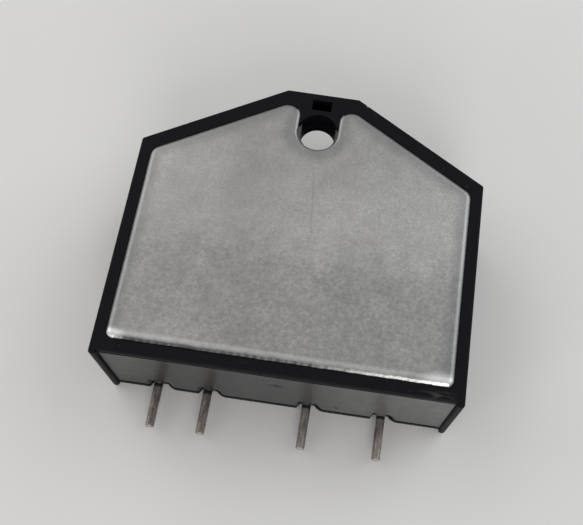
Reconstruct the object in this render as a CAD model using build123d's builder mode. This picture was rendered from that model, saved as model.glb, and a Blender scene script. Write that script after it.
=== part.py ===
"""Potted single-in-line solid state relay with a heat spreader plate, lying on its back.

The relay is a house-shaped moulded shell, open along its foot, with an aluminium
plate in its front.  Power parts sit on the back of the plate, a small control board
lies behind them, and four pins leave the potted foot in one row.  +X runs across the
shell, +Y from the pins towards the mounting hole, and +Z out of the plate.
Heights below are measured along Y from the tips of the two feet.
"""
from build123d import *
from math import atan2, tan
import os

# ---------------------------------------------------------------- shell
width = 34.5              # across the side walls
shoulder_height = 22.6    # feet to the corners where the top slopes in
height = 30.55            # feet to the flat top
top_width = 7.4           # length of the flat top
depth = 12.0              # back face to front rim
side_wall = 0.7
rear_wall = 0.7
lip = 0.7                 # thickness of the front frame that holds the plate in
foot_step = 0.4           # the side walls end this much below the potted mouth
corner_radius = 0.3       # upright outer corners
rim_radius = 0.2          # rounding along the outer rims
foot_radius = 0.25        # rounding along the feet
mouth_radius = 0.3        # rounding of the front frame along the mouth

# ---------------------------------------------------------------- plate
side_margin = 1.15        # plastic left showing beside the raised face
mouth_margin = 1.2        # below the raised face
shoulder_margin = 1.5     # along the sloping shoulders
top_margin = 1.75         # above the raised face
plate_proud = 0.2         # the raised face stands out of the rim
flange_gap = 0.15         # between the hidden flange and the side walls
flange_thickness = 0.9    # the flange bears on the back of the lip
plate_corner_radius = 0.7
plate_shoulder_radius = 1.2
lobe_radius = 1.2
rolled_edge = 0.3         # rounded front edge of the raised face

# ---------------------------------------------------------------- mounting hole
hole_drop = 4.55          # hole's centre below the flat top
bore_radius = 1.8
notch_clearance = 0.26    # the plate's notch stands back from the bore by this much
ear_thickness = 1.1       # plastic behind the plate, where a screw head seats
tongue_gap = 0.8          # the shell's tongue stops this far above the hole's centre
channel_radius = 3.8      # the screw head's channel behind the ear, open at the back and the top
channel_wall = 0.8
pocket_width = 2.0
pocket_height = 1.2
pocket_depth = 2.2

# ---------------------------------------------------------------- pins
pitch = 2.54
pin_steps = (2, 4, 3)     # spaces between the four pins, in pitches
row_offset = -0.96        # middle of the row from the middle of the shell
pin_radius = 0.45
pin_reach = 3.9           # pin tips below the feet
pin_wall_gap = 0.05       # between the pins and the rear wall
pin_chamfer = 0.08
riser_height = 3.9        # where the two load pins turn towards the plate
bend_radius = 1.0
lock_depth = 0.16         # groove round each pin that the potting fills, to hold it
lock_length = 0.6
lock_height = 0.5         # lower end of the groove, just under the mouth
collar_foot = 0.02        # the potting creeps down each pin in a small cone, this far out at its tip
collar_root = 0.17        # and this far out where it leaves the face

# ---------------------------------------------------------------- scallops beside the pins
scallop_depth = 0.5
scallop_side = 0.3        # flat part beyond the pin, on each side
scallop_steep = 0.3       # run of the short ramp
scallop_ramp = 1.0        # run of the long ramp, which flattens out on its way down
ramp_knee = (0.36, 0.40)  # the point it passes, as shares of its run and of its height
scallop_reach = 0.3       # dip in the potting, past the pins

# ---------------------------------------------------------------- power stage
inner_gap = 1.2           # from the board and the ceramic to the channel and the shoulders
bond_thickness = 0.1
ceramic_thickness = 0.63
ceramic_border = 1.0
ceramic_side_gap = 1.5    # from the ceramic to the shell's side wall
track_gap = 0.8
track_thickness = 0.3
chip_size = 4.6
chip_thickness = 0.25
chip_radius = 0.15
strap_width = 2.4
strap_thickness = 0.25
strap_land = 2.5          # length soldered to the far track
gate_wire_radius = 0.25
gate_inset = 0.5          # gate pad's centre from the chip's edges

# ---------------------------------------------------------------- solder
solder_radius = 0.95
solder_tip_radius = 0.6
solder_height = 0.5
solder_border = 0.15      # track left round a joint
joint_gap = 0.5           # from a joint to the nearest chip
pad_joint_width = 1.7
pad_joint_length = 2.6
pad_joint_inset = 0.6     # pads start this far inside the board's lower edge

# ---------------------------------------------------------------- control board
board_side_gap = 1.15     # from the board to the side walls
board_riser_gap = 0.85    # from the board to the load pins' risers
board_thickness = 0.8
board_pin_gap = 0.1       # between the board and the pins
board_corner = 0.6
part_gap = 0.9            # between the parts on the board
opto_size = (6.4, 8.6, 3.4)
opto_stand = 0.3
opto_lead_pitch = 2.54
opto_lead_width = 0.5
opto_lead_thickness = 0.25
opto_lead_reach = 1.6
chip_resistor_size = (3.2, 1.6, 0.55)
input_diode_size = (4.3, 2.6, 2.2)
limiter_size = (2.9, 1.4, 1.1)
snubber_resistor_size = (6.3, 3.2, 0.7)
capacitor_length = 7.2
capacitor_width = 3.6
capacitor_headroom = 1.97  # between the capacitor and the straps
small_part_radius = 0.12

# ---------------------------------------------------------------- derived places
mid_height = (height - pin_reach) / 2
hole_height = height - hole_drop
flange_width = side_margin - side_wall - flange_gap
lip_back = depth - lip
plate_front = depth + plate_proud
flange_back = lip_back - flange_thickness
ear_back = flange_back - ear_thickness
notch_radius = bore_radius + notch_clearance
channel_outer_radius = channel_radius + channel_wall
pocket_middle = (hole_height + bore_radius + height) / 2
pin_level = rear_wall + pin_wall_gap + pin_radius
row_steps = sum(pin_steps)
first_pin = row_offset - row_steps * pitch / 2
pin_places = [first_pin + sum(pin_steps[:count]) * pitch for count in range(len(pin_steps) + 1)]
control_places = pin_places[:2]
load_places = pin_places[2:]
shoulder_run = (width - top_width) / 2
shoulder_rise = height - shoulder_height
shoulder_length = (shoulder_run**2 + shoulder_rise**2) ** 0.5


def level(z):
    """The sketch plane at depth z from the back, with its origin at the feet."""
    return Plane(origin=(0, -mid_height, z))


def foot_plane(y):
    """A plane across the pins at height y, facing down the pins; its own y runs along Z."""
    return Plane(origin=(0, y - mid_height, 0), x_dir=(1, 0, 0), z_dir=(0, -1, 0))


def side_plane(x):
    """The plane that cuts the shell front to back at x; its own axes run along Y and Z."""
    return Plane(origin=(x, -mid_height, 0), x_dir=(0, 1, 0), z_dir=(1, 0, 0))


def slope_height(x, inset):
    """Height at x of the shoulder line, moved straight in by the inset."""
    rise = (width / 2 - x) * shoulder_rise / shoulder_run
    return shoulder_height + rise - inset * shoulder_length / shoulder_run


def slope_reach(y, inset):
    """Distance from the middle, at height y, of the shoulder line moved in by the inset."""
    run = (y - shoulder_height) * shoulder_run / shoulder_rise
    return width / 2 - run - inset * shoulder_length / shoulder_rise


def spread(sizes, low, high):
    """Centres that space parts of these sizes evenly between low and high."""
    gap = (high - low - sum(sizes)) / (len(sizes) + 1)
    return [low + gap * (place + 1) + sum(sizes[:place]) + size / 2 for place, size in enumerate(sizes)]


def house(side, low, shoulder, top):
    """A house-shaped face, with its own inset from each kind of wall."""
    reach = width / 2 - side
    roof = height - top
    with BuildSketch() as face:
        with BuildLine():
            Polyline(
                (-reach, low),
                (reach, low),
                (reach, slope_height(reach, shoulder)),
                (slope_reach(roof, shoulder), roof),
                (-slope_reach(roof, shoulder), roof),
                (-reach, slope_height(reach, shoulder)),
                close=True,
            )
        make_face()
    return face.sketch


def plate_face(grow):
    """The plate's raised face, grown evenly at its rims, with the notch for the screw."""
    low = foot_step + mouth_margin - grow
    roof = height - top_margin + grow
    blank = house(side_margin - grow, low, shoulder_margin - grow, top_margin - grow)
    # the two round corners of a lobe share its flat top
    flat = slope_reach(roof, shoulder_margin - grow) - notch_radius
    turn = atan2(shoulder_rise, shoulder_run)
    round_corner = min(lobe_radius, 0.95 * flat / (1 + tan(turn / 2)))
    with BuildSketch() as face:
        add(blank)
        with Locations((0, hole_height)):
            Circle(notch_radius, mode=Mode.SUBTRACT)
            Rectangle(2 * notch_radius, height, align=(Align.CENTER, Align.MIN), mode=Mode.SUBTRACT)
        fillet(face.vertices().group_by(Axis.Y)[-1], round_corner)
        fillet(face.vertices().group_by(Axis.Y)[0], plate_corner_radius)
        sides = face.vertices().group_by(Axis.X)
        fillet([side.sort_by(Axis.Y)[-1] for side in (sides[0], sides[-1])], plate_shoulder_radius)
    return face.sketch


def channel_face(radius):
    """A round end about the hole that runs straight up and out over the shell's top."""
    with BuildSketch() as face:
        with Locations((0, hole_height)):
            Circle(radius)
            Rectangle(2 * radius, height, align=(Align.CENTER, Align.MIN))
    return face.sketch


def scallop_face(x):
    """The dip in the mouth's rear edge beside one pin: steep on one side, a long ramp on the other."""
    flat = pin_radius + scallop_side
    floor = foot_step + scallop_depth
    knee = (x + flat + ramp_knee[0] * scallop_ramp, foot_step + ramp_knee[1] * scallop_depth)
    end = x + flat + scallop_ramp
    with BuildSketch() as face:
        with BuildLine():
            Polyline((x - flat - scallop_steep, foot_step), (x - flat, floor), (x + flat, floor))
            ThreePointArc((x + flat, floor), knee, (end, foot_step))
            Polyline(
                (end, foot_step),
                (end, 0),
                (x - flat - scallop_steep, 0),
                (x - flat - scallop_steep, foot_step),
            )
        make_face()
    return face.sketch


def lock_ring(x):
    """The ring cut from the pin at x, to leave the groove that the potting fills."""
    with BuildSketch() as face:
        with Locations((x, pin_level)):
            Circle(2 * pin_radius)
            Circle(pin_radius - lock_depth, mode=Mode.SUBTRACT)
    return face.sketch


outline = house(0, 0, 0, 0)
cavity = house(side_wall, 0, side_wall, side_wall)
fill = house(side_wall, foot_step, side_wall, side_wall)
raised_face = plate_face(0)
flange_face = plate_face(flange_width)
scallops = [scallop_face(x) for x in pin_places]

# ---------------------------------------------------------------- housing shell
with BuildPart() as housing_shell:
    with BuildSketch(level(0)) as block:
        add(outline)
        fillet(block.vertices(), corner_radius)
    extrude(amount=depth)
    rims = housing_shell.faces().filter_by(Axis.Z)
    fillet(rims.edges(), rim_radius)
    # the space that the potting fills, open along the foot
    with BuildSketch(level(rear_wall)):
        add(cavity)
    extrude(amount=lip_back - rear_wall, mode=Mode.SUBTRACT)
    # the mouth stands back between the feet, and the front frame is rounded where it ends
    with BuildSketch(side_plane(0)):
        with BuildLine():
            Polyline(
                (foot_step + mouth_radius, depth),
                (0, depth),
                (0, 0),
                (foot_step, 0),
                (foot_step, depth - mouth_radius),
            )
            CenterArc((foot_step + mouth_radius, depth - mouth_radius), mouth_radius, 90, 90)
        make_face()
    extrude(amount=width / 2 - side_wall, both=True, mode=Mode.SUBTRACT)
    # window for the plate, which leaves a tongue of plastic above the hole
    with BuildSketch(level(lip_back)):
        add(raised_face)
    extrude(amount=lip, mode=Mode.SUBTRACT)
    with BuildSketch(level(flange_back)):
        with Locations((0, hole_height)):
            Rectangle(2 * notch_radius, height - side_wall - hole_height, align=(Align.CENTER, Align.MIN))
    extrude(amount=lip_back - flange_back)
    # ear, and the channel behind it
    with BuildSketch(level(rear_wall)):
        add(channel_face(channel_outer_radius))
        add(outline, mode=Mode.INTERSECT)
    extrude(amount=flange_back - rear_wall)
    with BuildSketch(level(0)):
        add(channel_face(channel_radius))
    extrude(amount=ear_back, mode=Mode.SUBTRACT)
    with BuildSketch(level(ear_back)):
        with Locations((0, hole_height)):
            Circle(bore_radius)
    extrude(amount=ear_thickness, mode=Mode.SUBTRACT)
    with BuildSketch(level(flange_back)):
        with Locations((0, hole_height)):
            Circle(notch_radius)
            Rectangle(2 * notch_radius, tongue_gap, align=(Align.CENTER, Align.MIN))
    extrude(amount=depth - flange_back, mode=Mode.SUBTRACT)
    # moulded pocket above the hole
    with BuildSketch(level(depth)):
        with Locations((0, pocket_middle)):
            Rectangle(pocket_width, pocket_height)
    extrude(amount=-pocket_depth, mode=Mode.SUBTRACT)
    # the rear edge of the mouth dips beside each pin
    with BuildSketch(level(0)):
        for scallop in scallops:
            add(scallop)
    extrude(amount=rear_wall, mode=Mode.SUBTRACT)
    feet = housing_shell.edges().filter_by(Axis.Z).group_by(Axis.Y)[0]
    fillet(feet.filter_by(lambda edge: abs(edge.center().X) < width / 2 - side_wall / 2), foot_radius)
housing_shell.part.label = "housing_shell"

# ---------------------------------------------------------------- heat spreader plate
with BuildPart() as heat_spreader_plate:
    with BuildSketch(level(flange_back)):
        add(flange_face)
    extrude(amount=flange_thickness)
    with BuildSketch(level(lip_back)):
        add(raised_face)
    extrude(amount=plate_front - lip_back)
    fillet(heat_spreader_plate.faces().sort_by(Axis.Z)[-1].edges(), rolled_edge)
heat_spreader_plate.part.label = "heat_spreader_plate"

# ---------------------------------------------------------------- power stage
bond_back = flange_back - bond_thickness
ceramic_back = bond_back - ceramic_thickness
track_back = ceramic_back - track_thickness
chip_back = track_back - chip_thickness
strap_back = chip_back - strap_thickness

# the ceramic is centred on the load pins and reaches towards the nearer side wall
board_width = width - 2 * (side_wall + board_side_gap)
shoulder_limit = slope_height(board_width / 2, side_wall)
inner_top = min(hole_height - channel_outer_radius, shoulder_limit) - inner_gap
power_centre = sum(load_places) / 2
ceramic_width = 2 * (width / 2 - side_wall - ceramic_side_gap - power_centre)
track_width = (ceramic_width - track_gap) / 2 - ceramic_border
track_offset = (track_gap + track_width) / 2
track_places = (power_centre - track_offset, power_centre + track_offset)
track_low = riser_height - solder_radius - solder_border
track_high = inner_top - ceramic_border
ceramic_height = inner_top - track_low + ceramic_border
ceramic_middle = inner_top - ceramic_height / 2
chip_low = riser_height + solder_radius + joint_gap
chip_heights = spread((chip_size, chip_size), chip_low, track_high)[::-1]

with BuildPart() as thermal_bond_layer:
    with BuildSketch(level(bond_back)):
        with Locations((power_centre, ceramic_middle)):
            Rectangle(ceramic_width, ceramic_height)
    extrude(amount=bond_thickness)
thermal_bond_layer.part.label = "thermal_bond_layer"

with BuildPart() as ceramic_substrate:
    with BuildSketch(level(ceramic_back)):
        with Locations((power_centre, ceramic_middle)):
            Rectangle(ceramic_width, ceramic_height)
    extrude(amount=ceramic_thickness)
ceramic_substrate.part.label = "ceramic_substrate"

load_tracks = []
for number, x in enumerate(track_places, start=1):
    with BuildPart() as load_track:
        with BuildSketch(level(track_back)) as pad:
            with Locations((x, (track_low + track_high) / 2)):
                Rectangle(track_width, track_high - track_low)
            fillet(pad.vertices(), board_corner)
        extrude(amount=track_thickness)
    load_track.part.label = f"load_track_{number}"
    load_tracks.append(load_track)

thyristor_chips = []
for number, (x, y) in enumerate(zip(track_places, chip_heights), start=1):
    with BuildPart() as thyristor_chip:
        with BuildSketch(level(chip_back)) as die:
            with Locations((x, y)):
                Rectangle(chip_size, chip_size)
            fillet(die.vertices(), chip_radius)
        extrude(amount=chip_thickness)
    thyristor_chip.part.label = f"thyristor_chip_{number}"
    thyristor_chips.append(thyristor_chip)

# each strap bridges from one chip's cathode to the other chip's track
cathode_straps = []
for number, (x, far_x, y) in enumerate(zip(track_places, track_places[::-1], chip_heights), start=1):
    way = 1 if far_x > x else -1
    near_end = x - way * strap_width / 2
    far_end = far_x + way * strap_land / 2
    with BuildPart() as cathode_strap:
        with BuildSketch(level(strap_back)):
            with Locations(((near_end + far_end) / 2, y)):
                Rectangle(abs(far_end - near_end), strap_width)
        extrude(amount=strap_thickness)
        with BuildSketch(level(chip_back)):
            with Locations((far_x, y)):
                Rectangle(strap_land, strap_width)
        extrude(amount=chip_thickness)
    cathode_strap.part.label = f"cathode_strap_{number}"
    cathode_straps.append(cathode_strap)

# ---------------------------------------------------------------- control board
board_back = pin_level + pin_radius + board_pin_gap
board_front = board_back + board_thickness
board_low = riser_height + pin_radius + board_riser_gap
board_middle = (board_low + inner_top) / 2
with BuildPart() as control_board:
    with BuildSketch(level(board_back)) as blank:
        with Locations((0, board_middle)):
            Rectangle(board_width, inner_top - board_low)
        fillet(blank.vertices(), board_corner)
    extrude(amount=board_thickness)
control_board.part.label = "control_board"

gate_reach = chip_size / 2 - gate_inset
with BuildPart() as gate_wires:
    with BuildSketch(level(board_front)):
        for x, y, way in zip(track_places, chip_heights, (-1, 1)):
            with Locations((x + way * gate_reach, y + gate_reach)):
                Circle(gate_wire_radius)
    extrude(amount=chip_back - board_front)
gate_wires.part.label = "gate_wires"

# the input parts stand in one column, the optocoupler beside them, the power side beyond it
opto_side = opto_size[0] / 2
input_column = -board_width / 2 + part_gap + input_diode_size[0] / 2
opto_column = input_column + input_diode_size[0] / 2 + part_gap + opto_lead_reach + opto_side
power_column = opto_column + opto_side + opto_lead_reach + part_gap
opto_centre = (opto_column, board_middle)
with BuildPart() as optocoupler_body:
    with BuildSketch(level(board_front + opto_stand)):
        with Locations(opto_centre):
            Rectangle(opto_size[0], opto_size[1])
    extrude(amount=opto_size[2])
    chamfer(optocoupler_body.edges().filter_by(Axis.Y).group_by(Axis.Z)[-1], small_part_radius)
optocoupler_body.part.label = "optocoupler_body"

# bent leads: out of the body's side, down to the board and out along it
lead_level = board_front + opto_stand + opto_size[2] / 2
with BuildPart() as optocoupler_leads:
    for row in (-1, 0, 1):
        place = opto_centre[1] + row * opto_lead_pitch + opto_lead_width / 2
        for way in (-1, 1):
            with BuildSketch(foot_plane(place)):
                with BuildLine():
                    outer = opto_centre[0] + way * (opto_side + opto_lead_reach)
                    knee = opto_centre[0] + way * (opto_side + opto_lead_reach / 2)
                    inner = knee - way * opto_lead_thickness
                    Polyline(
                        (opto_centre[0] + way * opto_side, lead_level),
                        (knee, lead_level),
                        (knee, board_front + opto_lead_thickness),
                        (outer, board_front + opto_lead_thickness),
                        (outer, board_front),
                        (inner, board_front),
                        (inner, lead_level - opto_lead_thickness),
                        (opto_centre[0] + way * opto_side, lead_level - opto_lead_thickness),
                        close=True,
                    )
                make_face()
            extrude(amount=opto_lead_width)
optocoupler_leads.part.label = "optocoupler_leads"


def board_part(label, size, centres):
    """A surface-mounted part, or a group of the same ones, soldered to the board's front."""
    with BuildPart() as body:
        with BuildSketch(level(board_front)):
            with Locations(*centres):
                Rectangle(size[0], size[1])
        extrude(amount=size[2])
        fillet(body.faces().group_by(Axis.Z)[-1].edges(), small_part_radius)
    body.part.label = label
    return body


diode_row, limiter_row, resistor_row = spread(
    (input_diode_size[1], limiter_size[1], chip_resistor_size[1]), board_low, inner_top
)
input_diode = board_part("input_diode", input_diode_size, [(input_column, diode_row)])
current_limiter = board_part("current_limiter", limiter_size, [(input_column, limiter_row)])
input_resistor = board_part("input_resistor", chip_resistor_size, [(input_column, resistor_row)])

snubber_row, gate_row, capacitor_row = spread(
    (snubber_resistor_size[1], chip_resistor_size[1], capacitor_width), board_low, inner_top
)
snubber_place = (power_column + snubber_resistor_size[0] / 2, snubber_row)
snubber_resistor = board_part("snubber_resistor", snubber_resistor_size, [snubber_place])
first_gate_resistor = power_column + chip_resistor_size[0] / 2
second_gate_resistor = first_gate_resistor + chip_resistor_size[0] + part_gap
gate_resistors = board_part(
    "gate_resistors", chip_resistor_size, [(first_gate_resistor, gate_row), (second_gate_resistor, gate_row)]
)
capacitor_size = (capacitor_length, capacitor_width, strap_back - capacitor_headroom - board_front)
capacitor_place = (board_width / 2 - 2 * part_gap - capacitor_length / 2, capacitor_row)
snubber_capacitor = board_part("snubber_capacitor", capacitor_size, [capacitor_place])

# ---------------------------------------------------------------- pins
joint_middle = board_low + pad_joint_inset + pad_joint_length / 2
control_pin_height = joint_middle + pad_joint_length / 2
control_pins = []
for label, x in zip(("control_pin_positive", "control_pin_negative"), control_places):
    with BuildPart() as control_pin:
        with BuildSketch(foot_plane(control_pin_height)):
            with Locations((x, pin_level)):
                Circle(pin_radius)
        extrude(amount=control_pin_height + pin_reach)
        chamfer(control_pin.faces().sort_by(Axis.Y)[0].edges(), pin_chamfer)
        with BuildSketch(foot_plane(lock_height + lock_length)):
            add(lock_ring(x))
        extrude(amount=lock_length, mode=Mode.SUBTRACT)
    control_pin.part.label = label
    control_pins.append(control_pin)

load_pins = []
for number, x in enumerate(load_places, start=1):
    with BuildPart() as load_pin:
        with BuildLine(side_plane(x)):
            FilletPolyline(
                (-pin_reach, pin_level),
                (riser_height, pin_level),
                (riser_height, track_back),
                radius=bend_radius,
            )
        with BuildSketch(foot_plane(-pin_reach)):
            with Locations((x, pin_level)):
                Circle(pin_radius)
        sweep()
        chamfer(load_pin.faces().sort_by(Axis.Y)[0].edges(), pin_chamfer)
        with BuildSketch(foot_plane(lock_height + lock_length)):
            add(lock_ring(x))
        extrude(amount=lock_length, mode=Mode.SUBTRACT)
    load_pin.part.label = f"load_pin_{number}"
    load_pins.append(load_pin)

# ---------------------------------------------------------------- solder joints
with BuildPart() as load_solder_joints:
    for x in load_places:
        joint_plane = Plane(origin=(x, riser_height - mid_height, track_back), z_dir=(0, 0, -1))
        with BuildSketch(joint_plane):
            Circle(solder_radius)
        with BuildSketch(joint_plane.offset(solder_height)):
            Circle(solder_tip_radius)
        loft()
    for load_pin in load_pins:
        add(load_pin.part, mode=Mode.SUBTRACT)
load_solder_joints.part.label = "load_solder_joints"

with BuildPart() as control_solder_joints:
    with BuildSketch(level(pin_level)):
        for x in control_places:
            with Locations((x, joint_middle)):
                Rectangle(pad_joint_width, pad_joint_length)
    extrude(amount=board_back - pin_level)
    for control_pin in control_pins:
        add(control_pin.part, mode=Mode.SUBTRACT)
control_solder_joints.part.label = "control_solder_joints"

# ---------------------------------------------------------------- potting
potted = [
    heat_spreader_plate,
    thermal_bond_layer,
    ceramic_substrate,
    *load_tracks,
    *thyristor_chips,
    *cathode_straps,
    control_board,
    gate_wires,
    optocoupler_body,
    optocoupler_leads,
    input_resistor,
    input_diode,
    current_limiter,
    gate_resistors,
    snubber_capacitor,
    snubber_resistor,
    *control_pins,
    *load_pins,
    load_solder_joints,
    control_solder_joints,
]
with BuildPart() as potting_compound:
    with BuildSketch(level(rear_wall)):
        add(fill)
    extrude(amount=lip_back - rear_wall)
    with BuildSketch(level(rear_wall)):
        for scallop in scallops:
            add(scallop)
    extrude(amount=pin_level + pin_radius + scallop_reach - rear_wall, mode=Mode.SUBTRACT)
    # a cone of it covers the root of each pin
    for x in pin_places:
        with BuildSketch(foot_plane(foot_step + scallop_depth)):
            with Locations((x, pin_level)):
                Circle(pin_radius + collar_root)
        with BuildSketch(foot_plane(lock_height)):
            with Locations((x, pin_level)):
                Circle(pin_radius + collar_foot)
        loft()
    # it runs round the channel and the tongue above the hole, not into them
    with BuildSketch(level(rear_wall)):
        add(channel_face(channel_outer_radius))
    extrude(amount=flange_back - rear_wall, mode=Mode.SUBTRACT)
    with BuildSketch(level(flange_back)):
        with Locations((0, hole_height)):
            Circle(notch_radius)
            Rectangle(2 * notch_radius, height - hole_height, align=(Align.CENTER, Align.MIN))
    extrude(amount=lip_back - flange_back, mode=Mode.SUBTRACT)
    for piece in potted:
        add(piece.part, mode=Mode.SUBTRACT)
potting_compound.part.label = "potting_compound"

# ---------------------------------------------------------------- files
os.makedirs("parts", exist_ok=True)
for piece in [housing_shell, potting_compound, *potted]:
    export_step(piece.part, f"parts/{piece.part.label}.step")
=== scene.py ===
"""A potted solid state relay for a circuit board, lying on its back on a pale table.

The sections follow the relay as it is put together, and the table, the lights and the
camera come last.  Lengths are in metres; X runs across, Y from the pins to the hole, Z up.
"""
import bpy
import math
import numpy as np
from mathutils import Matrix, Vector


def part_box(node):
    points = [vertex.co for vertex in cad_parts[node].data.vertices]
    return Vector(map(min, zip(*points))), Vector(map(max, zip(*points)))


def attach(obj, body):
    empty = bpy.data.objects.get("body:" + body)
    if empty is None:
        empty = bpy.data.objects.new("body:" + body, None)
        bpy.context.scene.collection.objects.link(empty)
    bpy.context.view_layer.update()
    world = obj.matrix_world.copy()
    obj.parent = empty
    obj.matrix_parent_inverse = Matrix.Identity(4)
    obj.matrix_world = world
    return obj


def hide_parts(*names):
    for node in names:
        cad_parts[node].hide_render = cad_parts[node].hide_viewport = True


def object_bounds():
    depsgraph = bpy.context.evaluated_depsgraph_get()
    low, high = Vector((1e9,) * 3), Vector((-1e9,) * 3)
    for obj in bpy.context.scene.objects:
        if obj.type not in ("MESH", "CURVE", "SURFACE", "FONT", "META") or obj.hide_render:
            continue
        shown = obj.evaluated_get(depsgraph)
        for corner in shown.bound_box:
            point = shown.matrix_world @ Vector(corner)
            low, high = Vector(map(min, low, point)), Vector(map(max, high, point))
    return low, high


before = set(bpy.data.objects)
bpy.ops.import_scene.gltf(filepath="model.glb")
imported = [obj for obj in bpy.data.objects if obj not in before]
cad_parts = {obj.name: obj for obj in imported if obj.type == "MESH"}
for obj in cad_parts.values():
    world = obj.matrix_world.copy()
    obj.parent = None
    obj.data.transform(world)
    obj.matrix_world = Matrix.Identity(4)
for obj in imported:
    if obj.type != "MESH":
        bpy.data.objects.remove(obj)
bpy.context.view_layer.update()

# ------------------------------------------------------------------ housing shell
# One injection moulding in near-black filled plastic, open along its foot and windowed
# in front for the plate.  Everything else is set into it.  The CAD solid stays.


class Wire:
    """One output of a material's node tree; its operators add the Math nodes they stand for."""

    def __init__(self, finish, socket):
        self.finish = finish
        self.socket = socket

    def maths(self, operation, left, right):
        return self.finish.node("ShaderNodeMath", {"operation": operation}, {0: left, 1: right})

    def __add__(self, other):
        return self.maths("ADD", self, other)

    def __radd__(self, other):
        return self.maths("ADD", other, self)

    def __sub__(self, other):
        return self.maths("SUBTRACT", self, other)

    def __rsub__(self, other):
        return self.maths("SUBTRACT", other, self)

    def __mul__(self, other):
        return self.maths("MULTIPLY", self, other)

    def __rmul__(self, other):
        return self.maths("MULTIPLY", other, self)

    def __pow__(self, other):
        return self.maths("POWER", self, other)

    def __abs__(self):
        return self.maths("ABSOLUTE", self, 0.0)


class Finish:
    """A procedural material, built up from wires that end in its one Principled shader."""

    def __init__(self, name, fixed):
        self.material = bpy.data.materials.new(name)
        self.material.use_nodes = True
        self.tree = self.material.node_tree
        self.shader = self.tree.nodes["Principled BSDF"]
        for socket, value in fixed.items():
            self.shader.inputs[socket].default_value = value

    def node(self, kind, settings, values, output=0):
        """Adds a node: its settings first, then a value or a wire for each socket named."""
        made = self.tree.nodes.new(kind)
        for name, setting in settings.items():
            setattr(made, name, setting)
        for name, value in values.items():
            if isinstance(value, Wire):
                self.tree.links.new(value.socket, made.inputs[name])
            else:
                made.inputs[name].default_value = value
        return Wire(self, made.outputs[output])

    def axis(self, name):
        """One of the object's own coordinates."""
        place = self.node("ShaderNodeTexCoord", {}, {}, "Object")
        return self.node("ShaderNodeSeparateXYZ", {}, {0: place}, name)

    def cloud(self, grain, detail=3.0, stretch=(1, 1, 1), shift=(0, 0, 0), rough=0.5):
        """Soft noise from 0 to 1, its grain this many metres across, drawn out by the stretch."""
        place = self.node("ShaderNodeTexCoord", {}, {}, "Object")
        scale = tuple(1 / (grain * way) for way in stretch)
        turn = {"Vector": place, "Location": shift, "Scale": scale}
        moved = self.node("ShaderNodeMapping", {}, turn)
        noise = {0: moved, "Scale": 1.0, "Detail": detail, "Roughness": rough}
        return self.node("ShaderNodeTexNoise", {}, noise)

    def ease(self, value, low, high):
        """0 below low, 1 above high, a smooth step between; it falls when high is the lower."""
        down = high < low
        ends = {3: 1.0, 4: 0.0} if down else {3: 0.0, 4: 1.0}
        values = {0: value, 1: min(low, high), 2: max(low, high), **ends}
        return self.node("ShaderNodeMapRange", {"interpolation_type": "SMOOTHSTEP"}, values)

    def spot(self, centre, reach):
        """1 at a place, falling smoothly to 0 at these distances from it along X, Y and Z."""
        place = self.node("ShaderNodeTexCoord", {}, {}, "Object")
        away = self.node("ShaderNodeVectorMath", {"operation": "SUBTRACT"}, {0: place, 1: centre})
        near = self.node("ShaderNodeVectorMath", {"operation": "DIVIDE"}, {0: away, 1: reach})
        far = self.node("ShaderNodeVectorMath", {"operation": "LENGTH"}, {0: near}, "Value")
        return self.ease(far, 1.0, 0.0)

    def least(self, first, *others):
        """The smallest of some values."""
        for other in others:
            first = first.maths("MINIMUM", first, other)
        return first

    def blend(self, factor, first, second):
        """The first colour turning into the second as the factor goes from 0 to 1."""
        values = {0: factor, 6: first, 7: second}
        return self.node("ShaderNodeMix", {"data_type": "RGBA", "clamp_factor": True}, values, 2)

    def relief(self, height, depth, under=None):
        """The normal of a surface raised by the height, which is depth metres at 1."""
        values = {"Height": height, "Distance": depth, "Strength": 1.0}
        if under is not None:
            values["Normal"] = under
        return self.node("ShaderNodeBump", {}, values)

    def feed(self, socket, wire):
        """Drives one of the shader's own sockets."""
        self.tree.links.new(wire.socket, self.shader.inputs[socket])


def grey(level, warmth=0.0):
    """A colour of this lightness, a little redder than blue when warmth is above 0."""
    return (level * (1 + warmth), level, level * (1 - warmth), 1.0)


def dress(finish, *nodes):
    """Gives a finish to every material slot of these CAD nodes."""
    for name in nodes:
        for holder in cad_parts[name].material_slots:
            holder.material = finish.material


shell_low, shell_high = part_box("housing_shell")
foot = shell_low.y
rim = shell_high.z

plastic = Finish("moulded black plastic", {"IOR": 1.47, "Specular IOR Level": 0.13})
grain = plastic.cloud(0.00022, 2.0)
wear = plastic.cloud(0.0016, 5.0, rough=0.62)
dust = plastic.ease(plastic.cloud(0.00035, 3.0, rough=0.7), 0.66, 0.74)
front = plastic.ease(plastic.axis("Z"), rim - 0.0006, rim - 0.00005)
scuffed_corner = plastic.spot((0.0147, foot + 0.00085, rim), (0.0021, 0.0007, 0.0012))
nick = plastic.spot((0.00469, foot + 0.02990, rim), (0.00026, 0.00022, 0.0006))
rubbed = plastic.cloud(0.0007, 1.0, stretch=(1.8, 0.5, 1))
scuff = scuffed_corner * plastic.ease(rubbed, 0.40, 0.66)
tone = plastic.blend(wear, (0.0026, 0.0027, 0.0042, 1), (0.0058, 0.0059, 0.0082, 1))
tone = plastic.blend(front * dust * 0.35, tone, grey(0.10))
tone = plastic.blend(scuff * 0.7, tone, grey(0.060))
tone = plastic.blend(nick, tone, grey(0.34))
plastic.feed("Base Color", tone)
plastic.feed("Roughness", 0.44 + 0.22 * wear + 0.10 * scuff)
plastic.feed("Normal", plastic.relief(grain + 0.6 * wear, 0.000012))
dress(plastic, "housing_shell")

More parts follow.
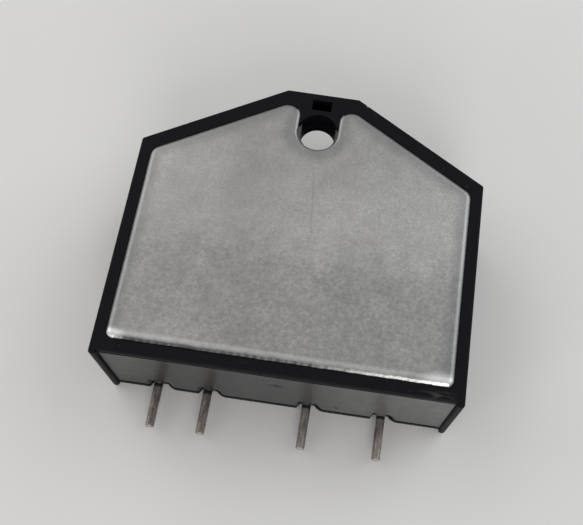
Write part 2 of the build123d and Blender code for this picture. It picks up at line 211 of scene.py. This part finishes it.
# ------------------------------------------------------------------ heat spreader plate
# Rolled aluminium, punched to the shape of the window, its front edge rounded over by the
# punch and left a little beaded along the foot.  It is bonded in behind the front frame.
plate_low, plate_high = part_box("heat_spreader_plate")
plate_side = 0.0161
plate_foot = foot + 0.0016
plate_roof = foot + 0.0288
plate_shoulder = foot + 0.021536
plate_top_half = 0.003719
foot_corner = 0.0007
upper_corner = 0.0012
hole_middle = foot + 0.0260
notch_half = 0.00206
notch_corner = notch_half - 0.00001
flange = 0.0003
lip_back = 0.0113
die_roll_width = 0.00056
die_roll_drop = 0.00031
outline_step = 0.00006
bead_height = 0.000024
bead_half = 0.00011
foot_beads = np.array([
    -15.0, -14.1, -13.2, -12.9, -11.9, -10.2, -9.8, -7.0, -0.9,
    0.4, 1.7, 3.0, 4.5, 6.2, 7.0, 8.8, 9.7, 10.65,
]) / 1000


def rounded_loop(corners, radii, step):
    """A closed outline: straight runs between corners, each corner an arc of its radius.

    An arc starts and ends at the radius times tan(half the turn) from its corner, and every
    run and arc is divided evenly into pieces no longer than the step.
    """
    corners = np.array(corners, float)
    radii = np.array(radii, float)
    back = np.roll(corners, 1, 0) - corners
    ahead = np.roll(corners, -1, 0) - corners
    back /= np.linalg.norm(back, axis=1)[:, None]
    ahead /= np.linalg.norm(ahead, axis=1)[:, None]
    cross = back[:, 0] * ahead[:, 1] - back[:, 1] * ahead[:, 0]
    half = np.arccos(np.clip((back * ahead).sum(1), -1, 1)) / 2
    start = corners + back * (radii / np.tan(half))[:, None]
    end = corners + ahead * (radii / np.tan(half))[:, None]
    toward = (back + ahead) / np.linalg.norm(back + ahead, axis=1)[:, None]
    centre = corners + toward * (radii / np.sin(half))[:, None]
    turn = -np.sign(cross) * (math.pi - 2 * half)
    pieces = []
    for k in range(len(corners)):
        count = max(2, int(np.ceil(abs(turn[k]) * radii[k] / step)))
        angle = np.linspace(0, turn[k], count + 1)[:, None]
        arm = start[k] - centre[k]
        side = np.array([-arm[1], arm[0]])
        pieces.append(centre[k] + arm * np.cos(angle) + side * np.sin(angle))
        goal = start[(k + 1) % len(corners)]
        count = max(1, int(np.ceil(np.linalg.norm(goal - end[k]) / step)))
        share = np.linspace(0, 1, count + 1)[1:-1, None]
        pieces.append(end[k] + (goal - end[k]) * share)
    return np.concatenate(pieces)


def loop_normals(loop):
    """Unit normals on the left of a closed outline, each square to its neighbours' chord."""
    chord = np.roll(loop, -1, 0) - np.roll(loop, 1, 0)
    chord /= np.linalg.norm(chord, axis=1)[:, None]
    return np.stack([-chord[:, 1], chord[:, 0]], 1)


def ripple(along, seed, waves, low, high):
    """A repeatable unevenness: a sum of sines of random phase, from low to high waves per unit."""
    chance = np.random.default_rng(seed)
    pitch = np.exp(chance.uniform(np.log(low), np.log(high), waves))
    phase = chance.uniform(0, 2 * np.pi, waves)
    size = chance.uniform(0.4, 1.0, waves)
    total = (size * np.sin(2 * np.pi * pitch * np.asarray(along)[..., None] + phase)).sum(-1)
    return total / np.sqrt((size**2).sum() / 2)


def rings(points, name):
    """A mesh from a grid of points, closed round each row, each end row filled by one flat face."""
    rows, around = points.shape[:2]
    index = np.arange(rows * around).reshape(rows, around)
    near = index[:-1]
    far = index[1:]
    quads = np.stack([near, np.roll(near, -1, 1), np.roll(far, -1, 1), far], -1).reshape(-1, 4)
    faces = quads.tolist() + [index[0][::-1].tolist(), index[-1].tolist()]
    mesh = bpy.data.meshes.new(name)
    mesh.from_pydata(points.reshape(-1, 3).tolist(), [], faces)
    mesh.shade_smooth()
    piece = bpy.data.objects.new(name, mesh)
    bpy.context.collection.objects.link(piece)
    return piece


def stand_for(piece, finish, slot, *nodes):
    """Gives a new piece its finish and lets it take the place of CAD nodes; the slot is not used.
    """
    piece.data.materials.append(finish.material)
    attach(piece, "root")
    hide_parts(*nodes)


def plate_surface():
    """The plate: a profile carried round its outline.

    The profile climbs the flange and the edge, then rolls over: at a distance s inside the
    outline the face lies (1 - s / width) to the power 2.3 times the roll's drop below its top.
    Round the notch the roll is narrower.  Along the foot it is wider and uneven, and small
    round beads stand out of it, each a bell curve both ways.
    """
    notch_foot = hole_middle - notch_half
    corners = [
        (-plate_side, plate_foot), (plate_side, plate_foot), (plate_side, plate_shoulder),
        (plate_top_half, plate_roof), (notch_half, plate_roof), (notch_half, notch_foot),
        (-notch_half, notch_foot), (-notch_half, plate_roof), (-plate_top_half, plate_roof),
        (-plate_side, plate_shoulder),
    ]
    shoulder_and_roof = [upper_corner] * 3
    radii = [foot_corner] * 2 + shoulder_and_roof + [notch_corner] * 2 + shoulder_and_roof
    loop = rounded_loop(corners, radii, outline_step)
    inward = loop_normals(loop)
    at_foot = np.clip(1 - (loop[:, 1] - plate_foot) / 0.0012, 0, 1)
    uneven = ripple(loop[:, 0] * 1000, 11, 14, 0.15, 1.6)
    at_notch = (np.abs(loop[:, 0]) < notch_half + 0.0003) & (loop[:, 1] > plate_shoulder)
    wider = at_foot * (0.06 + 0.04 * uneven).clip(0.0, 0.10) - 0.45 * at_notch
    deeper = at_foot * (0.28 + 0.08 * uneven).clip(0.1, 0.4) - 0.45 * at_notch
    width = die_roll_width * (1 + wider)
    drop = die_roll_drop * (1 + deeper)
    apart = np.abs(loop[:, :1] - foot_beads).min(1) + 0.01 * (1 - at_foot)
    bead = bead_height * np.exp(-((apart / bead_half) ** 2))
    share = [0, 0.04, 0.09, 0.15, 0.22, 0.30, 0.38, 0.46, 0.54, 0.62, 0.70, 0.86, 1.0]
    share = np.array(share)[:, None]
    bead_rows = np.exp(-(((share - 0.30) / 0.15) ** 2))
    top = plate_high.z - drop * (1 - share) ** 2.3 + bead * bead_rows
    inset = share * width
    around = np.ones(len(loop))
    hidden = np.array([[-flange], [-flange], [0], [0]]) * around
    behind = np.array([[plate_low.z], [lip_back], [lip_back], [lip_back + 0.0003]]) * around
    flat = np.array([[0.00066], [0.00069]]) * around
    inset = np.concatenate([hidden, inset, flat])
    levels = np.concatenate([behind, top, np.full_like(flat, plate_high.z)])
    place = loop[None] + inset[..., None] * inward[None]
    return np.concatenate([place, levels[..., None]], -1)


aluminium = Finish("mottled aluminium", {"Metallic": 1.0})
sideways = aluminium.axis("X")
along = aluminium.axis("Y")
slope = math.atan2(plate_roof - plate_shoulder, plate_side - plate_top_half)
below_hole = aluminium.least(along - hole_middle, 0.0)
from_side = plate_side - abs(sideways)
from_notch = (sideways * sideways + below_hole * below_hole) ** 0.5 - notch_half
from_slope = from_side * math.sin(slope) + (plate_shoulder - along) * math.cos(slope)
broad = aluminium.cloud(0.0075, 2.0, stretch=(1, 1.6, 1), rough=0.4, shift=(3.1, 0.4, 0))
clouds = aluminium.cloud(0.0021, 4.0, rough=0.55)
mottle = aluminium.cloud(0.00040, 4.0, rough=0.68)
rolling = aluminium.cloud(0.00016, 2.0, stretch=(1, 26, 1), rough=0.5)
fine_grain = aluminium.cloud(0.00018, 2.0)
specks = aluminium.ease(aluminium.cloud(0.00026, 2.0, shift=(7, 2, 0)), 0.70, 0.78)
inside = aluminium.least(from_side, from_slope, from_notch)
# Painted shade: a darker band on the face just inside the rolled edge.
painted_shade_band = aluminium.ease(inside + 0.0006 * (clouds - 0.5), 0.0019, 0.0005)
lower = aluminium.ease(along + 0.004 * (clouds - 0.5), foot + 0.0150, foot + 0.0100)
# Painted shade: the rolled-over edge along the foot, between the corners, is painted near black.
turned = aluminium.ease(aluminium.axis("Z"), plate_high.z - 0.00001, plate_high.z - 0.00008)
at_foot = aluminium.ease(along - plate_foot, 0.0009, 0.0006)
between = aluminium.ease(sideways, 0.0110, 0.0020) * aluminium.ease(sideways, -0.0156, -0.0138)
painted_shade_on_roll = turned * at_foot * between
# Painted highlights: a bright line where the roll starts along the foot, and bright spots at the
# two lower corners.
ridge_highlight = aluminium.ease(abs(along + 0.0002 * clouds - plate_foot - 0.00078), 0.00038, 0.00008)
right_corner_highlight = aluminium.spot((0.0148, plate_foot + 0.0005, plate_high.z), (0.0026, 0.0011, 0.0020))
left_corner_highlight = aluminium.spot((-0.0154, plate_foot + 0.0004, plate_high.z), (0.0016, 0.0009, 0.0020))
# The punched wall below the roll: its extra roughness is the real dull shear face, and its darker
# colour is painted shade.
sheared_and_shaded = aluminium.ease(aluminium.axis("Z"), plate_high.z - 0.00028, plate_high.z - 0.00036)
along_scratch = along - (foot + 0.0180)
scratch = aluminium.ease(abs(sideways - 0.00067 + 0.108 * along_scratch), 0.00011, 0.00003)
scratch = scratch * aluminium.ease(abs(along_scratch), 0.0042, 0.0026)
pale = aluminium.spot((0.0035, foot + 0.0165, plate_high.z), (0.0145, 0.0075, 0.0100))
smear = aluminium.spot((-0.0059, foot + 0.0180, plate_high.z), (0.0042, 0.0070, 0.0100))
tone = aluminium.blend(broad * 0.65 + clouds * 0.35, grey(0.30, 0.015), grey(0.78, 0.015))
tone = aluminium.blend(pale * 0.26, tone, grey(0.92, 0.01))
tone = aluminium.blend(smear * 0.22, tone, grey(0.28, -0.03))
tone = aluminium.blend(aluminium.ease(mottle, 0.75, 0.25) * 0.30, tone, grey(0.30, 0.01))
tone = aluminium.blend(aluminium.ease(fine_grain, 0.64, 0.36) * 0.24, tone, grey(0.24))
tone = aluminium.blend(lower * aluminium.ease(mottle, 0.68, 0.32) * 0.36, tone, grey(0.24))
# A little darker towards the bottom, plus the painted shade band just inside the edge.
tone = aluminium.blend(lower * 0.06 + painted_shade_band * 0.45, tone, grey(0.22, -0.03))
tone = aluminium.blend(specks * 0.5 + scratch * 0.35, tone, grey(0.30))
# Painted highlights on the foot's ridge and at the lower corners.
tone = aluminium.blend(ridge_highlight * 0.30 + right_corner_highlight * 0.9 + left_corner_highlight * 0.9, tone, grey(0.94))
# Painted shade on the roll along the foot.
tone = aluminium.blend(painted_shade_on_roll * 0.92, tone, grey(0.07, -0.05))
# Painted shade on the punched wall below the roll.
tone = aluminium.blend(sheared_and_shaded * 0.85, tone, grey(0.14))
aluminium.feed("Base Color", tone)
aluminium.feed("Roughness", 0.30 + 0.14 * clouds + 0.08 * mottle + 0.2 * sheared_and_shaded)
texture = aluminium.relief(mottle + 0.4 * rolling, 0.000009)
aluminium.feed("Normal", aluminium.relief(clouds, 0.00003, texture))
stand_for(rings(plate_surface(), "plate"), aluminium, "plate", "heat_spreader_plate")

# ------------------------------------------------------------------ power stage
# An alumina tile bonded to the back of the plate carries two copper tracks, a thyristor
# soldered to each, and a copper strap from each thyristor to the other's track.
glue = Finish("grey thermal adhesive", {})
filler = glue.cloud(0.00025, 4.0, rough=0.7)
glue.feed("Base Color", glue.blend(filler, grey(0.34), grey(0.47)))
glue.feed("Roughness", 0.38 + 0.2 * filler)
glue.feed("Normal", glue.relief(filler, 0.00001))
dress(glue, "thermal_bond_layer")

alumina = Finish("white alumina", {})
fired = alumina.cloud(0.0002, 4.0, rough=0.7)
scoring = alumina.ease(abs(alumina.cloud(0.00012, 1.0, stretch=(40, 1, 1)) - 0.5), 0.0, 0.12)
alumina.feed("Base Color", alumina.blend(fired, (0.70, 0.69, 0.64, 1), (0.82, 0.81, 0.77, 1)))
alumina.feed("Roughness", 0.55 + 0.2 * fired)
alumina.feed("Normal", alumina.relief(fired + 0.3 * scoring, 0.000008))
dress(alumina, "ceramic_substrate")

copper = Finish("bare copper", {"Metallic": 1.0})
drawn = copper.cloud(0.00008, 2.0, stretch=(1, 45, 1))
stain = copper.cloud(0.0011, 4.0, rough=0.6)
copper.feed("Base Color", copper.blend(stain, (0.72, 0.36, 0.22, 1), (0.50, 0.23, 0.13, 1)))
copper.feed("Roughness", 0.24 + 0.14 * stain + 0.10 * drawn)
copper.feed("Normal", copper.relief(drawn, 0.000003))
dress(copper, "load_track_1", "load_track_2", "cathode_strap_1", "cathode_strap_2")

silicon = Finish("metallised silicon", {"Metallic": 0.75})
cells = silicon.cloud(0.0005, 2.0, rough=0.3)
sawn = silicon.cloud(0.00004, 2.0, stretch=(20, 20, 1))
silicon.feed("Base Color", silicon.blend(cells, (0.13, 0.14, 0.17, 1), (0.24, 0.25, 0.29, 1)))
silicon.feed("Roughness", 0.20 + 0.15 * sawn)
silicon.feed("Normal", silicon.relief(sawn, 0.000002))
dress(silicon, "thyristor_chip_1", "thyristor_chip_2")

# ------------------------------------------------------------------ control board
# A glass epoxy board under a green mask, lying behind the power stage.  Its weave shows
# faintly through the mask.
board = Finish("green masked board", {"IOR": 1.5, "Coat Weight": 0.3})
warp = board.cloud(0.00016, 1.0, stretch=(1, 14, 1))
weft = board.cloud(0.00016, 1.0, stretch=(14, 1, 1))
shade = board.cloud(0.004, 2.0)
weave = warp * weft
light_mask = (0.030, 0.185, 0.075, 1)
board.feed("Base Color", board.blend(shade * 0.6 + weave, (0.012, 0.105, 0.040, 1), light_mask))
board.feed("Roughness", 0.26 + 0.14 * shade)
board.feed("Normal", board.relief(weave, 0.000012))
dress(board, "control_board")

# ------------------------------------------------------------------ optocoupler and diodes
# Transfer-moulded packages in black epoxy with a fine matte surface from the mould.
package = Finish("black moulded package", {"IOR": 1.5})
spark = package.cloud(0.00006, 3.0, rough=0.7)
package.feed("Base Color", package.blend(spark, grey(0.016), grey(0.034)))
package.feed("Roughness", 0.50 + 0.18 * spark)
package.feed("Normal", package.relief(spark, 0.000006))
dress(package, "optocoupler_body", "input_diode", "current_limiter")

# ------------------------------------------------------------------ resistors and capacitor
# Chip resistors are black glass on white ceramic, with tinned ends.  The capacitor is a
# film block in a dull orange-red dip.
resistor = Finish("glazed chip resistor", {"IOR": 1.52})
glaze = resistor.cloud(0.0003, 3.0, rough=0.6)
resistor.feed("Base Color", resistor.blend(glaze, grey(0.014), grey(0.040)))
resistor.feed("Roughness", 0.16 + 0.16 * glaze)
resistor.feed("Normal", resistor.relief(glaze, 0.000010))
dress(resistor, "input_resistor", "gate_resistors", "snubber_resistor")

dip = Finish("dipped capacitor", {"IOR": 1.5, "Coat Weight": 0.4})
sag = dip.cloud(0.0011, 3.0, rough=0.5)
dip.feed("Base Color", dip.blend(sag, (0.36, 0.075, 0.025, 1), (0.56, 0.15, 0.05, 1)))
dip.feed("Roughness", 0.24 + 0.16 * sag)
dip.feed("Normal", dip.relief(sag, 0.00006))
dress(dip, "snubber_capacitor")

# ------------------------------------------------------------------ leads, wires and solder
# The optocoupler's lead frame and the gate wires are tinned copper; every joint is tin
# solder, bright where it froze fast and grained where it froze slowly.
tin = Finish("bright tin", {"Metallic": 1.0})
frost = tin.cloud(0.00012, 3.0, rough=0.6)
tin.feed("Base Color", tin.blend(frost, grey(0.58, 0.02), grey(0.76, 0.02)))
tin.feed("Roughness", 0.22 + 0.22 * frost)
tin.feed("Normal", tin.relief(frost, 0.000006))
dress(tin, "optocoupler_leads", "gate_wires")

solder = Finish("tin solder", {"Metallic": 1.0})
crystal = solder.cloud(0.00022, 4.0, rough=0.65)
solder.feed("Base Color", solder.blend(crystal, grey(0.46), grey(0.68)))
solder.feed("Roughness", 0.18 + 0.32 * crystal)
solder.feed("Normal", solder.relief(crystal, 0.00002))
dress(solder, "load_solder_joints", "control_solder_joints")

# ------------------------------------------------------------------ pins
# Round tinned wire, cropped off square at the tip and darkened by handling.  The control
# pins run up to the board; the load pins turn forward to the tracks.
pin_radius = 0.00045
bend = 0.0010
groove_depth = 0.00016
groove_low = foot + 0.0005
groove_high = foot + 0.0011
pin_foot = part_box("load_pin_1")[0].y


def pin_surface(node, turns):
    """One pin: a circle carried along its middle line, its radius a function of the length.

    The line climbs from the tip; a load pin's bends forward on a quarter arc and goes on to
    its track.  The radius grows over a rounded crop at the tip and narrows at the groove.
    """
    low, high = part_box(node)
    x = (low.x + high.x) / 2
    z = low.z + pin_radius
    rise = np.array([0, 0.00001, 0.00003, 0.00006, 0.00010])
    shank = np.linspace(low.y + 0.0002, groove_low, 40)
    neck = np.array([groove_low + 0.00002, groove_high - 0.00002])
    riser = high.y - pin_radius
    top = riser - bend if turns else high.y
    upper = np.linspace(groove_high, top, 16)
    y = np.concatenate([low.y + rise, shank, neck, upper])
    line = np.stack([np.full_like(y, x), y, np.full_like(y, z)], 1)
    along = np.tile([0.0, 1.0, 0.0], (len(y), 1))
    if turns:
        angle = np.linspace(0, math.pi / 2, 13)[1:]
        arc_y = top + bend * np.sin(angle)
        arc_z = z + bend * (1 - np.cos(angle))
        arc = np.stack([np.full_like(angle, x), arc_y, arc_z], 1)
        end = np.array([[x, riser, high.z]])
        line = np.concatenate([line, arc, end])
        heading = np.stack([0 * angle, np.cos(angle), np.sin(angle)], 1)
        along = np.concatenate([along, heading, [[0.0, 0.0, 1.0]]])
    radius = np.full(len(line), pin_radius)
    radius[:5] = pin_radius * np.array([0.86, 0.93, 0.97, 0.99, 1.0])
    radius[(line[:, 1] > groove_low) & (line[:, 1] < groove_high)] = pin_radius - groove_depth
    round_it = np.linspace(0, 2 * math.pi, 48, endpoint=False)
    across = np.array([1.0, 0.0, 0.0])
    up = np.cross(along, across)
    ring = np.cos(round_it)[None, :, None] * across + np.sin(round_it)[None, :, None] * up[:, None]
    return line[:, None] + radius[:, None, None] * ring


tinned = Finish("tarnished tin", {"Metallic": 1.0})
drawing = tinned.cloud(0.00010, 3.0, stretch=(1, 16, 1), rough=0.6)
tarnish = tinned.cloud(0.00075, 4.0, stretch=(1, 2.2, 1), rough=0.62)
tip = tinned.ease(tinned.axis("Y"), pin_foot + 0.00012, pin_foot + 0.00002)
pits = tinned.ease(tinned.cloud(0.00020, 3.0, stretch=(1, 1.4, 1), rough=0.6), 0.52, 0.70)
crept = tinned.ease(tinned.axis("Y") + 0.0003 * tarnish, foot + 0.00020, foot + 0.00040)
clean_tin = (0.46, 0.425, 0.400, 1)
dark_tin = (0.200, 0.168, 0.150, 1)
tone = tinned.blend(tinned.ease(tarnish, 0.36, 0.66), clean_tin, dark_tin)
tone = tinned.blend(drawing * 0.30, tone, (0.46, 0.43, 0.41, 1))
tone = tinned.blend(tip * 0.8, tone, (0.62, 0.55, 0.48, 1))
tone = tinned.blend(pits * 0.60, tone, (0.060, 0.048, 0.043, 1))
tone = tinned.blend(crept, tone, grey(0.008))
tinned.feed("Base Color", tone)
tinned.feed("Metallic", 1.0 - crept)
tinned.feed("Roughness", 0.30 + 0.22 * tarnish + 0.08 * drawing)
tinned.feed("Normal", tinned.relief(drawing + tarnish, 0.000014))
pin_names = ["control_pin_positive", "control_pin_negative", "load_pin_1", "load_pin_2"]
for name in pin_names:
    surface = pin_surface(name, name.startswith("load"))
    stand_for(rings(surface, "pin_" + name), tinned, "pin", name)

# ------------------------------------------------------------------ potting
# Black epoxy, poured in at the foot and left to level.  It wets the walls and the pins,
# sinks beside each pin, and froze with a shallow dimple and one popped bubble.
pot_side = 0.01655
rear_wall = 0.0007
mouth = foot + 0.0004
pin_line = 0.0012
pin_places = [sum(corner.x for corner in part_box(name)) / 2 for name in pin_names]
pin_dip = 0.0005
collar_reach = 0.00078
bubble_x = 0.0059
bubble_z = 0.0026


def smooth(value):
    """0 below 0, 1 above 1, and 3 v squared - 2 v cubed between."""
    value = np.clip(value, 0, 1)
    return value * value * (3 - 2 * value)


def mouth_height(x, z):
    """How far the poured face lies above the mouth at each place, in metres.

    It is a gentle swell, plus a creep out along the walls, plus a dip beside each pin that is
    short on one side and long on the other, plus the dimple and the bubble; close to a pin it
    comes back down in a concave collar.
    """
    level = 0.000010 * np.sin(x / 0.0031 + 0.6) * np.sin(z / 0.0024) + 0.00002
    wall = np.minimum(pot_side - np.abs(x), lip_back - z)
    level = level - 0.00006 * np.exp(-wall / 0.00028)
    level = level + 0.00005 * np.exp(-((z - rear_wall) / 0.00016))
    for place in pin_places:
        away = x - place
        left = smooth((away + 0.00105) / 0.00034)
        right = smooth((0.00175 - away) / 0.00105) ** 1.15
        back = smooth((0.0031 - z) / 0.0014)
        level = level + (pin_dip - 0.00002) * left * right * back
    dimple = ((x + 0.0001) / 0.00085) ** 2 + ((z - 0.0082) / 0.00042) ** 2
    level = level + 0.00013 * np.exp(-dimple * 1.6)
    bubble = np.hypot(x - bubble_x, (z - bubble_z) * 0.9)
    level = level + 0.00022 * smooth((0.00024 - bubble) / 0.00012)
    level = level - 0.00002 * np.exp(-((bubble - 0.00030) / 0.00008) ** 2)
    for place in pin_places:
        near = np.hypot(x - place, z - pin_line)
        collar = pin_dip - 0.00040 * np.clip((collar_reach - near) / 0.00033, 0, 1) ** 2.2
        level = np.where(near < collar_reach, np.minimum(level, collar), level)
    return level


def fine_steps(low, high, coarse, fine, places, reach):
    """Places from low to high, a coarse step apart, or a fine step apart within reach of some."""
    plain = np.linspace(low, high, int(round((high - low) / coarse)) + 1)
    dense = [np.arange(place - reach, place + reach, fine) for place in places]
    every = np.unique(np.concatenate([plain, *dense]).clip(low, high))
    keep = np.concatenate([[True], np.diff(every) > fine / 2])
    keep[-1] = True
    return every[keep]


def potting_block(name):
    """A closed block: its foot is a grid of x and z raised by the height function.

    Its sides go up from the grid's edge in three steps, the middle one drawing z in by a fixed
    ratio so that the block passes behind the plate, and end below the channel for the screw.
    """
    x = fine_steps(-pot_side, pot_side, 0.00012, 0.00004, [*pin_places, bubble_x], 0.0008)
    z = fine_steps(rear_wall, lip_back, 0.00012, 0.00004, [pin_line, bubble_z], 0.0006)
    across, up = np.meshgrid(x, z)
    face = np.stack([across, mouth + mouth_height(across, up), up], -1)
    rows, columns = across.shape
    index = np.arange(rows * columns).reshape(rows, columns)
    square = [index[:-1, :-1], index[:-1, 1:], index[1:, 1:], index[1:, :-1]]
    quads = np.stack(square, -1).reshape(-1, 4)
    edge = np.concatenate([index[0], index[1:, -1], index[-1, -2::-1], index[-2:0:-1, 0]])
    squeeze = (plate_low.z - rear_wall) / (lip_back - rear_wall)
    step_y = foot + np.array([0.0011, 0.0012, 0.0212])[:, None]
    rim_points = face.reshape(-1, 3)[edge]
    step_z = rear_wall + (rim_points[:, 2] - rear_wall) * np.array([[1], [squeeze], [squeeze]])
    step_x = rim_points[:, 0] + 0 * step_z
    steps = np.stack([step_x, step_y + 0 * step_z, step_z], -1).reshape(-1, 3)
    loops = np.concatenate([edge[None], rows * columns + np.arange(3 * len(edge)).reshape(3, -1)])
    near = loops[:-1]
    far = loops[1:]
    sides = np.stack([np.roll(near, -1, 1), near, far, np.roll(far, -1, 1)], -1).reshape(-1, 4)
    faces = quads.tolist() + sides.tolist() + [loops[-1][::-1].tolist()]
    mesh = bpy.data.meshes.new(name)
    mesh.from_pydata(np.concatenate([face.reshape(-1, 3), steps]).tolist(), [], faces)
    curved = [True] * len(quads) + [False] * (len(faces) - len(quads))
    mesh.polygons.foreach_set("use_smooth", curved)
    piece = bpy.data.objects.new(name, mesh)
    bpy.context.collection.objects.link(piece)
    return piece


epoxy = Finish("poured black epoxy", {"IOR": 1.56, "Specular IOR Level": 0.30})
cured = epoxy.cloud(0.0045, 2.0)
haze = epoxy.cloud(0.0013, 4.0, rough=0.6)
streak = epoxy.cloud(0.0010, 3.0, stretch=(1, 1, 3), rough=0.5, shift=(2, 0, 4))
motes = epoxy.ease(epoxy.cloud(0.00024, 2.0, shift=(0, 5, 0)), 0.71, 0.77)
tone = epoxy.blend(cured, (0.0085, 0.0085, 0.0095, 1), (0.0150, 0.0145, 0.0150, 1))
# Painted reflection: the poured face is lightened towards the right, standing in for brighter table
# mirrored there.
painted_reflection_right = epoxy.ease(epoxy.axis("X") + 0.003 * haze, 0.0010, 0.0120)
tone = epoxy.blend(painted_reflection_right * 0.8, tone, grey(0.115))
tone = epoxy.blend(epoxy.ease(streak, 0.34, 0.76) * 0.45, tone, grey(0.048))
tone = epoxy.blend(motes * 0.4, tone, grey(0.09))
epoxy.feed("Base Color", tone)
epoxy.feed("Roughness", 0.24 + 0.12 * haze + 0.06 * streak)
epoxy.feed("Normal", epoxy.relief(haze + 0.5 * streak, 0.000010))
stand_for(potting_block("potting"), epoxy, "potting", "potting_compound")

# ------------------------------------------------------------------ table
# A plain pale table top with a faint unevenness of tone, so that it isn't a flat colour.
table_gap = 0.00003
table_half = 1.2
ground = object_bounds()[0][2] - table_gap
corners = [(-table_half, -table_half, ground), (table_half, -table_half, ground),
           (table_half, table_half, ground), (-table_half, table_half, ground)]
mesh = bpy.data.meshes.new("table")
mesh.from_pydata(corners, [], [(0, 1, 2, 3)])
table = bpy.data.objects.new("table", mesh)
bpy.context.collection.objects.link(table)
laminate = Finish("pale table", {"IOR": 1.45})
tone = laminate.cloud(0.02, 3.0)
laminate.feed("Base Color", laminate.blend(tone, grey(0.76, 0.008), grey(0.82, 0.008)))
laminate.feed("Roughness", 0.55 + 0.1 * tone)
mesh.materials.append(laminate.material)

# ------------------------------------------------------------------ light
# A soft grey room with a wide lamp behind on either side and two lower ones in front.
scene = bpy.context.scene
scene.view_settings.view_transform = "Standard"
scene.view_settings.look = "None"
world = bpy.data.worlds.new("room")
world.use_nodes = True
world.node_tree.nodes["Background"].inputs["Color"].default_value = (1.0, 0.995, 0.985, 1.0)
world.node_tree.nodes["Background"].inputs["Strength"].default_value = 0.40
scene.world = world


def soft_lamp(name, place, width, height, power, colour):
    """A flat lamp at a place, turned to face the relay."""
    light = bpy.data.lights.new(name, "AREA")
    light.shape = "RECTANGLE"
    light.size = width
    light.size_y = height
    light.energy = power
    light.color = colour
    lamp = bpy.data.objects.new(name, light)
    x, y, z = place
    lamp.location = place
    lamp.rotation_euler = (math.atan2(math.hypot(x, y), z), 0.0, math.atan2(x, -y))
    bpy.context.collection.objects.link(lamp)


soft_lamp("window", (0.45, 0.32, 0.42), 0.60, 0.60, 1.4, (0.93, 0.97, 1.0))
soft_lamp("lamp", (-0.45, 0.25, 0.42), 0.60, 0.60, 1.2, (1.0, 0.98, 0.95))
soft_lamp("doorway", (0.11, -0.60, 0.30), 0.26, 0.52, 1.6, (1.0, 0.99, 0.97))
soft_lamp("side lamp", (-0.42, -0.42, 0.26), 0.18, 0.18, 0.25, (1.0, 0.99, 0.97))

# ------------------------------------------------------------------ camera
# Held above the foot of the relay, looking down on the plate and turned a little.
azimuth = math.radians(2.436)
elevation = math.radians(67.795)
roll = math.radians(6.001)
distance = 0.089871
target = np.array([0.003624, foot + 0.015019, 0.005])
back = np.array([
    math.sin(azimuth) * math.cos(elevation),
    -math.cos(azimuth) * math.cos(elevation),
    math.sin(elevation),
])
level_right = np.cross([0, 0, 1], back)
level_right /= np.linalg.norm(level_right)
level_up = np.cross(back, level_right)
right = math.cos(roll) * level_right + math.sin(roll) * level_up
up = -math.sin(roll) * level_right + math.cos(roll) * level_up
lens = bpy.data.cameras.new("camera")
lens.sensor_width = 36.0
lens.lens = 53.328
lens.shift_x = -0.075
lens.clip_start = 0.005
camera = bpy.data.objects.new("camera", lens)
placed = np.eye(4)
placed[:3, 0] = right
placed[:3, 1] = up
placed[:3, 2] = back
placed[:3, 3] = target + back * distance
camera.matrix_world = Matrix(placed.tolist())
bpy.context.collection.objects.link(camera)
scene.camera = camera

bpy.context.view_layer.update()
